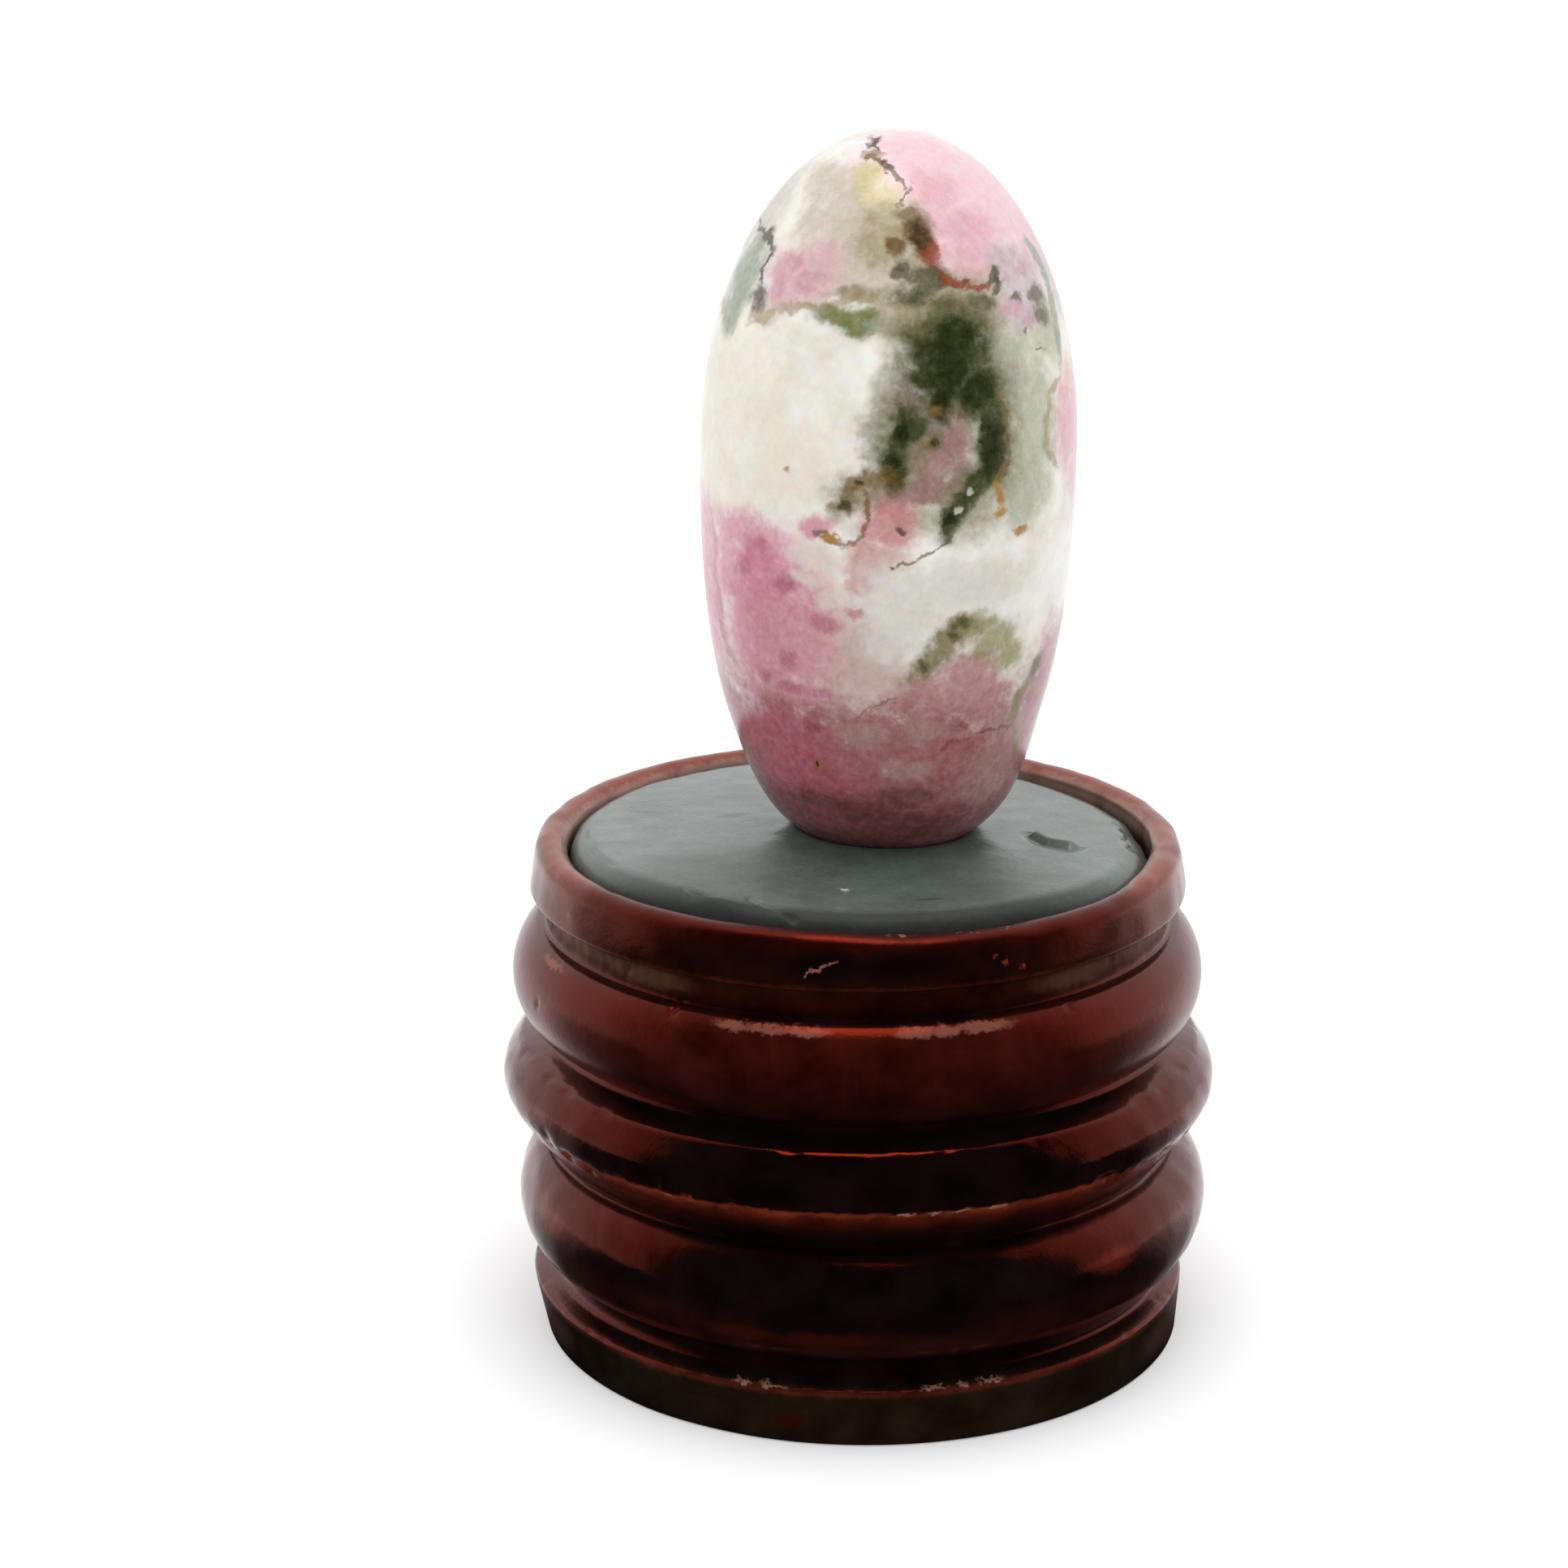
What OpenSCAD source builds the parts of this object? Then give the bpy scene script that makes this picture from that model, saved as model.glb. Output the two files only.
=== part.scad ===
// Lingam stone on a turned stand: a polished egg-shaped stone stands on end, pressed into a pad of
// putty that fills the recess of a lathe-turned wooden stand. Millimetres, +Z up.
// The origin is the centre of the stand's resting face.

/* [Stand base] */
// Diameter of the flat face that the stand rests on
foot_diameter = 41.2; // [38:0.2:43]
// Diameter of the base band at its upper arris
base_diameter = 43.2; // [42:0.2:45]
// Height of the base band
base_height = 3.9; // [2.5:0.1:5]
// Height of the neck above the base band
base_neck_height = 1.8; // [1:0.1:3]

/* [Stand mouldings] */
// Diameter of the necks next to the base band and the rim
neck_diameter = 40.4; // [39.4:0.2:41]
// Height of the slope from an arris in to its neck
neck_slope_height = 0.5; // [0.2:0.1:0.8]
// Diameter of the grooves between the mouldings
groove_diameter = 41.6; // [40.8:0.2:42.4]
// Diameter of the lower bead
lower_bead_diameter = 45.4; // [44:0.2:48]
// Height of the lower bead
lower_bead_height = 7.3; // [6:0.1:9]
// Diameter of the middle ridge at its crest
ridge_diameter = 46.6; // [45:0.2:49]
// Radius of the ridge's rounded nose
ridge_nose_round = 2.4; // [1.8:0.1:3]
// Height of the bevel under the ridge
ridge_bevel_height = 3.2; // [2:0.1:4]
// Height of the ridge's crest above its sharp lower arris
ridge_crest_height = 1.4; // [0.5:0.1:1.7]
// Height of the ridge's shoulder above its crest
ridge_shoulder_height = 3.7; // [3.2:0.1:5]
// Diameter of the upper bead
upper_bead_diameter = 45; // [44:0.2:48]
// Height of the upper bead
upper_bead_height = 6.6; // [5.4:0.2:8]

/* [Stand rim] */
// Height of the neck under the rim
rim_neck_height = 2.3; // [1.2:0.1:3.5]
// Diameter of the rim at its lower arris
rim_diameter = 42.6; // [42.2:0.2:45]
// Height of the rim
rim_height = 3.3; // [2.5:0.1:5]
// Width of the rounded lip round the recess
lip_width = 2; // [1.4:0.1:2.4]
// Diameter of the recess that holds the pad
recess_diameter = 37.8; // [34:0.2:38]
// Depth of the recess below the top of the lip
recess_depth = 3; // [2:0.1:4]

/* [Putty pad] */
// Thickness of the pad at its crown
pad_thickness = 3.3; // [2:0.1:4.2]
// Rise of the crown above the edge of the dome
pad_dome_rise = 0.4; // [0.2:0.1:1.2]
// Radius of the pad's rolled edge
pad_edge_round = 1.2; // [0.5:0.1:1.6]
// Gap between the pad and the wall of the recess
pad_clearance = 0.2; // [0.1:0.05:0.4]

/* [Stone] */
// Diameter of the stone at its girth
stone_diameter = 23.8; // [22:0.2:26]
// Length of the stone above its girth
stone_upper_length = 19.7; // [17:0.1:24]
// Length of the stone below its girth
stone_lower_length = 26.6; // [22:0.2:30]
// Radius of the upper end
stone_crown_round = 8.3; // [7:0.1:9.5]
// Radius of the blunt lower end
stone_seat_round = 9.8; // [8:0.1:10.4]
// Depth that the stone is pressed into the pad
stone_sink = 1.3; // [0.4:0.1:1.8]
// Gap between the stone and its seat in the pad
seat_clearance = 0.2; // [0.1:0.05:0.4]
// Distance of the stone's axis to the right of the stand's axis
stone_right = 1.7; // [-4:0.1:4]
// Distance of the stone's axis behind the stand's axis
stone_back = 1.1; // [-4:0.1:4]

/* [Hidden] */
$fn = 128;
// Steps round the whole circle of the pad's wide dome
dome_steps = 1440;

// Levels of the mouldings, stacked from the resting face upward
base_neck_z = base_height;
lower_bead_z = base_neck_z + base_neck_height;
ridge_z = lower_bead_z + lower_bead_height;
ridge_arris_z = ridge_z + ridge_bevel_height;
ridge_crest_z = ridge_arris_z + ridge_crest_height;
upper_bead_z = ridge_crest_z + ridge_shoulder_height;
rim_neck_z = upper_bead_z + upper_bead_height;
rim_z = rim_neck_z + rim_neck_height;
stand_height = rim_z + rim_height;

// Radii of the turned stand
foot_r = foot_diameter / 2;
base_r = base_diameter / 2;
neck_r = neck_diameter / 2;
groove_r = groove_diameter / 2;
ridge_r = ridge_diameter / 2;
rim_r = rim_diameter / 2;
recess_r = recess_diameter / 2;
recess_floor_z = stand_height - recess_depth;

// Point at which a line from an outer point is tangent to a circle; turn picks the side
function tangent_angle(point, centre, radius, turn) =
    atan2(point.y - centre.y, point.x - centre.x) + turn * acos(radius / norm(point - centre));
function tangent_point(point, centre, radius, turn) =
    let (angle = tangent_angle(point, centre, radius, turn))
    centre + radius * [cos(angle), sin(angle)];

// The ridge's nose runs down to the arris, and a straight shoulder is tangent to it from the groove
ridge_nose = [ridge_r - ridge_nose_round, ridge_crest_z];
ridge_arris_r = ridge_nose.x + sqrt(pow(ridge_nose_round, 2) - pow(ridge_crest_height, 2));
ridge_shoulder_end = tangent_point([groove_r, upper_bead_z], ridge_nose, ridge_nose_round, -1);

// The lip is half round, and the rim's wall runs from the arris as a tangent to it
lip_r = lip_width / 2;
lip = [recess_r + lip_r, stand_height - lip_r];
rim_wall_top = tangent_point([rim_r, rim_z], lip, lip_r, 1);

// The pad's dome meets its rolled edge without a crease
pad_r = recess_r - pad_clearance;
pad_crown_z = recess_floor_z + pad_thickness;
dome_r = (pow(pad_r, 2) + pow(pad_dome_rise, 2)) / (2 * pad_dome_rise);
dome_z = pad_crown_z - dome_r;
pad_edge_x = pad_r - pad_edge_round;
pad_edge_z = dome_z + sqrt(pow(dome_r - pad_edge_round, 2) - pow(pad_edge_x, 2));
dome_edge_x = pad_edge_x * dome_r / (dome_r - pad_edge_round);

// The stone stands with its lower end in the pad
stone_r = stone_diameter / 2;
stone_tip_z = pad_crown_z - stone_sink;
stone_girth_z = stone_tip_z + stone_lower_length;
stone_seat_z = stone_tip_z + stone_seat_round;

// Radius of the long arc that joins the girth to an end of the stone
function flank_radius(length, end_round) =
    (pow(stone_r, 2) + pow(length - end_round, 2) - pow(end_round, 2)) / (2 * (stone_r - end_round));

// Height above the girth at which that arc runs into the end
function flank_height(length, end_round) =
    (length - end_round) * flank_radius(length, end_round) / (flank_radius(length, end_round) - end_round);

// Section of one bead: an arc that bulges from the groove to the bead's diameter
module bead_section(bottom_z, height, diameter) {
    rise = diameter / 2 - groove_r;
    arc_r = (pow(height / 2, 2) + pow(rise, 2)) / (2 * rise);
    intersection() {
        translate([diameter / 2 - arc_r, bottom_z + height / 2])
            circle(arc_r);
        translate([0, bottom_z])
            square([diameter, height]);
    }
}

// Section of the base band with the neck above it
module base_section() {
    polygon([
        [0, 0],
        [foot_r, 0],
        [base_r, base_neck_z],
        [neck_r, base_neck_z + neck_slope_height],
        [neck_r, lower_bead_z],
        [0, lower_bead_z]
    ]);
}

// Section of the ridge: a bevel below its arris, a round nose and a straight shoulder above it
module ridge_section() {
    polygon([
        [0, ridge_z],
        [groove_r, ridge_z],
        [ridge_arris_r, ridge_arris_z],
        ridge_nose,
        ridge_shoulder_end,
        [groove_r, upper_bead_z],
        [0, upper_bead_z]
    ]);
    intersection() {
        translate(ridge_nose)
            circle(ridge_nose_round);
        translate([0, ridge_arris_z])
            square([ridge_r, upper_bead_z - ridge_arris_z]);
    }
}

// Section of the rim with the neck under it, before the recess is cut
module rim_section() {
    polygon([
        [0, rim_neck_z],
        [neck_r, rim_neck_z],
        [neck_r, rim_z - neck_slope_height],
        [rim_r, rim_z],
        rim_wall_top,
        lip,
        [0, lip.y]
    ]);
    translate(lip)
        circle(lip_r);
}

// Half section of the stone on one side of its girth
module stone_half(length, end_round) {
    flank_r = flank_radius(length, end_round);
    intersection() {
        union() {
            intersection() {
                translate([stone_r - flank_r, 0])
                    circle(flank_r);
                square([stone_r, flank_height(length, end_round)]);
            }
            translate([0, length - end_round])
                circle(end_round);
        }
        square([stone_r, length]);
    }
}

// Lathe-turned wooden stand with a blind recess in its top
module turned_stand() {
    color("#5a2a22")
        rotate_extrude()
            difference() {
                union() {
                    base_section();
                    translate([0, lower_bead_z])
                        square([groove_r, rim_neck_z - lower_bead_z]);
                    bead_section(lower_bead_z, lower_bead_height, lower_bead_diameter);
                    ridge_section();
                    bead_section(upper_bead_z, upper_bead_height, upper_bead_diameter);
                    rim_section();
                }
                translate([0, recess_floor_z])
                    square([recess_r, recess_depth]);
            }
}

// Putty pad: a low dome with a rolled edge, dented by the stone
module putty_pad() {
    color("#8f9a90")
        difference() {
            rotate_extrude()
                union() {
                    translate([0, recess_floor_z])
                        square([pad_r, pad_edge_z - recess_floor_z]);
                    intersection() {
                        translate([0, dome_z])
                            circle(dome_r, $fn = dome_steps);
                        translate([0, recess_floor_z])
                            square([dome_edge_x, pad_thickness]);
                    }
                    intersection() {
                        translate([pad_edge_x, pad_edge_z])
                            circle(pad_edge_round);
                        translate([0, pad_edge_z])
                            square([pad_r, pad_edge_round]);
                    }
                }
            translate([stone_right, stone_back, stone_seat_z])
                sphere(stone_seat_round + seat_clearance);
        }
}

// Egg-shaped stone: four arcs turned about its long axis
module lingam_stone() {
    color("#d8b4b0")
        translate([stone_right, stone_back, stone_girth_z])
            rotate_extrude()
                union() {
                    stone_half(stone_upper_length, stone_crown_round);
                    mirror([0, 1])
                        stone_half(stone_lower_length, stone_seat_round);
                }
}

turned_stand();
putty_pad();
lingam_stone();
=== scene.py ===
"""Polished lingam stone standing in a putty pad on a turned, lacquered stand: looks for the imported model."""

import math

import bmesh
import bpy
from mathutils import Matrix, Vector, noise


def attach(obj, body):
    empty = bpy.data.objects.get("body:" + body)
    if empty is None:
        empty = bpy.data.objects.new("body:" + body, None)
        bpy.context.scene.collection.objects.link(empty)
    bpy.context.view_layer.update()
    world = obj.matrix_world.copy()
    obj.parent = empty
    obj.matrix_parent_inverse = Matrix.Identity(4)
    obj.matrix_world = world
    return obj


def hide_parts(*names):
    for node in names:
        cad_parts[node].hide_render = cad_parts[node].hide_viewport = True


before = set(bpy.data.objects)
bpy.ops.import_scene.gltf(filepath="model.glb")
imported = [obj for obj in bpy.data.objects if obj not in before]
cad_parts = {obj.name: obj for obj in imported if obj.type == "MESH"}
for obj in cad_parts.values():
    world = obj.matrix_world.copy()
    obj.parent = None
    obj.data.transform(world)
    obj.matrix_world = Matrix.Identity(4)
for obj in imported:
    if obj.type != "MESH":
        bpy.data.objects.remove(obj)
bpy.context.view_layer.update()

MM = 0.001  # one millimetre in metres; the shapes below are written in millimetres

# Sizes of the turned stand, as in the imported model
FOOT_R, BASE_R, NECK_R, GROOVE_R = 20.6, 21.6, 20.2, 20.8
BEAD_LOW_R, RIDGE_R, BEAD_HIGH_R, RIM_R = 22.7, 23.3, 22.5, 21.3
BASE_TOP, BEAD_LOW_Z, RIDGE_Z, ARRIS_Z, CREST_Z = 3.9, 5.7, 13.0, 16.2, 17.6
BEAD_HIGH_Z, RIM_NECK_Z, RIM_Z, STAND_TOP = 21.3, 27.9, 30.2, 33.5
NOSE_ROUND, NECK_SLOPE = 2.4, 0.5
RECESS_R, RECESS_FLOOR, LIP_ROUND = 18.9, 30.5, 1.0
LIP_R, LIP_Z = RECESS_R + LIP_ROUND, STAND_TOP - LIP_ROUND

# Finer details of the stand
QUIRK = 0.35  # depth of the narrow quirk cut at the foot of each bead
QUIRK_LOW, QUIRK_HIGH = 0.25, 0.45  # heights of the quirks below and above the ridge
NOSE_END = 35  # angle at which the ridge's round nose runs up into a straight face
RIDGE_EDGE_R = 22.15  # upper edge of that face, from which a ledge leads in to the groove
ARRIS_BEVEL, HOLLOW_BEVEL = 0.22, 0.3
FLAT_R = 17  # inside this radius the stand is flat and needs few rings
STAND_STEPS, PAD_STEPS = 480, 608  # lathe steps round the whole circle
STAND_MESH, PAD_MESH = 0.4, 0.6  # longest edges of their profiles

# Putty pad: almost flat on top, with a thumbed edge that rolls over just above the lip
PAD_R, PAD_CROWN, PAD_DOME, PAD_EDGE = 18.6, 33.75, 0.55, 1.6
PAD_FOOT = RECESS_FLOOR + 0.05
PAD_LEAN = 0.38  # how far the edge leans up at the left front
PAD_BULGE = 0.36  # how far the front edge stands up over that
DENT_STEP = 0.05  # height of the steps in which the dent follows the stone

# Stone: a turned egg, blunter below its girth than above it, that leans a little to the right
GIRTH_R, GIRTH_Z, CROWN_LENGTH, SEAT_LENGTH = 11.88, 59.03, 19.63, 26.5
CROWN_POWER, SEAT_POWER = 2.0, 2.52
STONE_X, STONE_Y, LEAN = 1.72, 1.1, 0.011

# Camera of the photograph
LENS, SENSOR = 93.17, 36.0
CAMERA_PLACE = (-4.87, -250.0, 114.15)
CAMERA_DOWN = 17.22

# White studio, in metres and watts
SKY_LIGHT = 0.86  # level of the white surroundings where they light the pieces
PAPER_LIFT = 0.25  # glow that keeps the paper white where it is seen
FLOOR_R, FLOOR_DROP = 4, 0.02 * MM
SOFTBOX_SIZE, SOFTBOX_ENERGY, SOFTBOX_PLACE = 0.36, 1.0, (0, -0.1, 0.62)
CLOTH_R, CLOTH_TOP, CLOTH_LIFT = 0.32, 1.1, 0.00005

PATCH_REACH = 1.5  # a patch of a material fades out over this many times its size


# ---------------------------------------------------------------- helpers for shapes

def ease(value, low, high):
    """Smooth step from 0 at low to 1 at high; high may be below low."""
    share = min(max((value - low) / (high - low), 0.0), 1.0)
    return share * share * (3 - 2 * share)


def rough(x, y, z, size):
    """Perlin noise, about -1 to 1, with lumps of a size in mm."""
    return noise.noise(Vector((x, y, z)) / size)


def bearing(x, y):
    """Degrees round the axis: 0 faces the camera, and the right-hand side is positive."""
    return math.degrees(math.atan2(x, -y))


def turned_by(angle, centre):
    """Signed difference between two bearings."""
    return (angle - centre + 180) % 360 - 180


def within(value, low, high, soft):
    """1 between low and high, with soft ends."""
    return ease(value, low - soft, low + soft) * ease(value, high + soft, high - soft)


def hump(value, centre, half):
    """A round hump, 1 at its centre and 0 outside its half-width."""
    return ease(abs(value - centre), half, 0)


def along(x, y, path):
    """Distance of a point from a path of points, and its side: positive to the left of the path's course."""
    nearest, side = 1e9, 1
    for (xa, ya), (xb, yb) in zip(path, path[1:]):
        dx, dy = xb - xa, yb - ya
        share = min(max(((x - xa) * dx + (y - ya) * dy) / (dx * dx + dy * dy), 0), 1)
        away = math.hypot(x - xa - share * dx, y - ya - share * dy)
        if away < nearest:
            nearest, side = away, 1 if dx * (y - ya) - dy * (x - xa) > 0 else -1
    return nearest, side


def line_to(bm, point, r, z):
    """Draws the profile on from its last point to a radius and height."""
    end = bmesh.ops.extrude_vert_indiv(bm, verts=[point])["verts"][0]
    end.co = Vector((r, 0, z)) * MM
    return end


def lines_to(bm, point, *corners):
    """Draws the profile on through corners: radius, height and the list of corners that it joins, if any."""
    for r, z, kind in corners:
        point = line_to(bm, point, r, z)
        if kind is not None:
            kind.append(point)
    return point


def arc_to(bm, point, r, z, degrees, steps):
    """Draws the profile on along an arc about a centre; positive turns lead from above to outside."""
    return bmesh.ops.spin(
        bm, geom=[point], cent=Vector((r, 0, z)) * MM, axis=(0, 1, 0),
        angle=math.radians(degrees), steps=steps)["geom_last"][0]


def part_edges(bm, longest):
    """Cuts the profile's long edges to a length in mm."""
    for edge in list(bm.edges):
        cuts = int(edge.calc_length() / MM / longest)
        if cuts:
            bmesh.ops.subdivide_edges(bm, edges=[edge], cuts=cuts)


def turn_on_lathe(bm, steps, sectors=16):
    """Spins the profile through one sector, and repeats that into a closed body."""
    whole, sector = 2 * math.pi, 2 * math.pi / sectors
    bmesh.ops.spin(
        bm, geom=bm.verts[:] + bm.edges[:], cent=(0, 0, 0), axis=(0, 0, 1), angle=sector,
        steps=steps // sectors)
    bmesh.ops.spin(
        bm, geom=bm.verts[:] + bm.edges[:] + bm.faces[:], cent=(0, 0, 0), axis=(0, 0, 1),
        angle=whole - sector, steps=sectors - 1, use_duplicate=True)
    bmesh.ops.remove_doubles(bm, verts=bm.verts, dist=0.0005 * MM)


def make_object(bm, name, material):
    """Turns a bmesh into an object with one material."""
    mesh = bpy.data.meshes.new(name)
    bm.to_mesh(mesh)
    bm.free()
    mesh.materials.append(material)
    made = bpy.data.objects.new(name, mesh)
    bpy.context.collection.objects.link(made)
    return made


def make_piece(bm, name, body, node, material):
    """Turns a bmesh into a piece that rides on its body and stands for its CAD node."""
    bmesh.ops.recalc_face_normals(bm, faces=bm.faces)
    piece = make_object(bm, name, material)
    piece.data.shade_smooth()
    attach(piece, body)
    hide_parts(node)
    return piece


def stone_radius(z):
    """Radius of the stone at a height above its girth, in mm: round above, blunter towards its seat."""
    depth = min(abs(z) / (CROWN_LENGTH if z >= 0 else SEAT_LENGTH), 1)
    power = CROWN_POWER if z >= 0 else SEAT_POWER + 0.3 * ease(depth, 0.65, 0.95)
    return GIRTH_R * (1 - depth ** power) ** (1 / power)


def stone_shift(z):
    """How far the stone's middle lies to the right at a height above its girth: it leans, with a fuller foot."""
    return LEAN * z + 0.3 * ease(-z / SEAT_LENGTH, 0.6, 0.9)


# ---------------------------------------------------------------- helpers for materials

def linear(hex_colour, alpha=1.0):
    """A linear colour from an sRGB hex value."""
    channels = [int(hex_colour[i:i + 2], 16) / 255 for i in (1, 3, 5)]
    return [c / 12.92 if c <= 0.04045 else ((c + 0.055) / 1.055) ** 2.4 for c in channels] + [alpha]


def add(tree, kind, sockets=None, stops=None, **settings):
    """Adds a node. A socket takes a value or another node's output, and stops fill a colour ramp."""
    made = tree.nodes.new(kind)
    for name, value in settings.items():
        setattr(made, name, value)
    for socket, value in (sockets or {}).items():
        if isinstance(value, bpy.types.NodeSocket):
            tree.links.new(value, made.inputs[socket])
        else:
            made.inputs[socket].default_value = value
    for index, (place, colour) in enumerate(stops or []):
        ramp = made.color_ramp.elements
        element = ramp[index] if index < 2 else ramp.new(place)
        element.position, element.color = place, colour
    return made


def new_material(name):
    """A material with an empty node tree."""
    material = bpy.data.materials.new(name)
    material.use_nodes = True
    material.node_tree.nodes.clear()
    return material


def maths(tree, operation, *values):
    """Result of a sum on numbers or outputs."""
    return add(tree, "ShaderNodeMath", dict(enumerate(values)), operation=operation).outputs[0]


def vectors(tree, operation, *values):
    """Result of a sum on vectors or colours."""
    return add(tree, "ShaderNodeVectorMath", dict(enumerate(values)), operation=operation).outputs[0]


def scaled(tree, vector, scale):
    """A vector or colour times a number."""
    return add(tree, "ShaderNodeVectorMath", {0: vector, "Scale": scale}, operation="SCALE").outputs[0]


def ranged(tree, value, to_min, to_max, from_min=0.0, from_max=1.0, course="LINEAR"):
    """A value taken from one range to another."""
    return add(tree, "ShaderNodeMapRange", {
        "Value": value, "From Min": from_min, "From Max": from_max, "To Min": to_min, "To Max": to_max},
        interpolation_type=course).outputs[0]


def ramped(tree, value, stops):
    """A colour ramp over a value; its stops are places and linear colours."""
    return add(tree, "ShaderNodeValToRGB", {"Fac": value}, stops).outputs[0]


def lumps(tree, place, size, detail, roughness=0.5):
    """Outputs of a noise with lumps of a size."""
    return add(tree, "ShaderNodeTexNoise", {
        "Vector": place, "Scale": 1 / size, "Detail": detail, "Roughness": roughness}).outputs


def in_mm(tree, place, origin=(0, 0, 0)):
    """Coordinates in mm from a point."""
    return add(tree, "ShaderNodeMapping", {
        "Vector": place, "Location": -Vector(origin), "Scale": (1 / MM, 1 / MM, 1 / MM)}).outputs[0]


def wandering(tree, spot, source, swing=1.0):
    """Coordinates pushed about by a noise, so that what is placed on them gets a natural edge."""
    pushed = vectors(tree, "SUBTRACT", source["Color"], (0.5, 0.5, 0.5))
    return vectors(tree, "ADD", spot, scaled(tree, pushed, swing))


def laid(tree, share, ground, hex_colour):
    """A colour laid over a ground by its share."""
    return add(tree, "ShaderNodeMix", {"Factor": share, "A": ground, "B": linear(hex_colour)},
               data_type="RGBA").outputs["Result"]


def bumped(tree, height, strength, depth, under=None):
    """A bump with a depth in mm, over another one if that is given."""
    sockets = {"Height": height, "Strength": strength, "Distance": depth * MM}
    if under is not None:
        sockets["Normal"] = under
    return add(tree, "ShaderNodeBump", sockets).outputs[0]


def patch_mask(tree, spot, patches, softness, ragged=1.0):
    """Where patches lie: (centre, half-sizes, tilt, bearing) in mm, with a soft (up to 0.5) and ragged edge."""
    strongest = None
    for centre, half_sizes, tilt, turn in patches:
        local = add(tree, "ShaderNodeMapping", {
            "Vector": spot, "Location": centre, "Scale": Vector(half_sizes) * PATCH_REACH,
            "Rotation": (0, math.radians(tilt), math.radians(turn))}, vector_type="TEXTURE").outputs[0]
        fade = add(tree, "ShaderNodeTexGradient", {0: local}, gradient_type="SPHERICAL").outputs["Fac"]
        strongest = fade if strongest is None else maths(tree, "MAXIMUM", strongest, fade)
    return ranged(tree, maths(tree, "MULTIPLY", strongest, ragged), 0.0, 1.0,
                  1 - (1 + softness) / PATCH_REACH, 1 - (1 - softness) / PATCH_REACH, "SMOOTHSTEP")


def with_marks(tree, spot, ground, table):
    """A ground with single marks laid over it: colour, softness and patches."""
    for hex_colour, softness, patches in table:
        ground = laid(tree, patch_mask(tree, spot, patches, softness), ground, hex_colour)
    return ground


def on_stand(turn, r, z):
    """Point on the stand at a bearing, radius and height."""
    angle = math.radians(turn)
    return Vector((r * math.sin(angle), -r * math.cos(angle), z))


def on_stone(turn, z):
    """Point on the stone's surface at a bearing and a height above its girth."""
    r, angle = stone_radius(z), math.radians(turn)
    return Vector((stone_shift(z) + r * math.sin(angle), -r * math.cos(angle), z))


def marks(r, z, half_height, *spans):
    """Thin marks along one ring of the stand: each span runs between two bearings."""
    return [(on_stand((a + b) / 2, r, z), (math.radians(b - a) * r / 2, 0.8, half_height), 0, (a + b) / 2)
            for a, b in spans]


def ring(r, z, half_sizes, turns):
    """Patches of one size along a ring of the stand, one at each bearing."""
    return [(on_stand(turn, r, z), half_sizes, 0, turn) for turn in turns]


def vein(half_width, *points):
    """A vein of the stone as a row of long patches that overlap at their ends."""
    row = []
    for (turn_a, z_a), (turn_b, z_b) in zip(points, points[1:]):
        turn, z = (turn_a + turn_b) / 2, (z_a + z_b) / 2
        across = (on_stone(turn_b, z_b) - on_stone(turn_a, z_a)).to_2d().length
        across *= 1 if turn_b > turn_a else -1
        row.append((turn, z, half_width, math.hypot(across, z_b - z_a) / 2 + half_width,
                    math.degrees(math.atan2(across, z_b - z_a))))
    return row


def seen_rays(tree):
    """1 for rays that see or mirror a thing, 0 for rays that only take its light."""
    path = add(tree, "ShaderNodeLightPath").outputs
    seen = maths(tree, "MAXIMUM", path["Is Camera Ray"], path["Is Glossy Ray"])
    return maths(tree, "MAXIMUM", seen, path["Is Transmission Ray"])


# ---------------------------------------------------------------- camera, light and stage

scene = bpy.context.scene
scene.view_settings.view_transform = "Standard"

camera_data = bpy.data.cameras.new("camera")
camera_data.sensor_width, camera_data.lens = SENSOR, LENS
camera_data.clip_start, camera_data.clip_end = 0.01, 20
camera = bpy.data.objects.new("camera", camera_data)
camera.location = Vector(CAMERA_PLACE) * MM
camera.rotation_euler = (math.radians(90 - CAMERA_DOWN), 0, 0)
scene.collection.objects.link(camera)
scene.camera = camera

# White all round: full white where it is seen or mirrored, a plain level where it lights
world = bpy.data.worlds.new("white_studio")
scene.world = world
world.use_nodes = True
sky = world.node_tree
sky.nodes.clear()
glow = add(sky, "ShaderNodeBackground", {
    "Color": (1, 1, 1, 1), "Strength": ranged(sky, seen_rays(sky), SKY_LIGHT, 1.0)})
add(sky, "ShaderNodeOutputWorld", {"Surface": glow.outputs[0]})

softbox_data = bpy.data.lights.new("overhead_softbox", "AREA")
softbox_data.shape, softbox_data.size = "DISK", SOFTBOX_SIZE
softbox_data.energy = SOFTBOX_ENERGY
softbox = bpy.data.objects.new("overhead_softbox", softbox_data)
softbox.location = SOFTBOX_PLACE
scene.collection.objects.link(softbox)

# White paper floor: it shows as white and keeps the stand's shadow
paper = new_material("white_paper")
tree = paper.node_tree
matte = add(tree, "ShaderNodeBsdfPrincipled", {
    "Base Color": linear("#f4f4f4"), "Roughness": 0.9, "Specular IOR Level": 0.0,
    "Emission Color": (1, 1, 1, 1), "Emission Strength": maths(tree, "MULTIPLY", seen_rays(tree), PAPER_LIFT)})
add(tree, "ShaderNodeOutputMaterial", {"Surface": matte.outputs[0]})

bm = bmesh.new()
bmesh.ops.create_circle(bm, cap_ends=True, segments=96, radius=FLOOR_R)
bmesh.ops.translate(bm, verts=bm.verts, vec=(0, 0, -FLOOR_DROP))
floor = make_object(bm, "paper_floor", paper)


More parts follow.
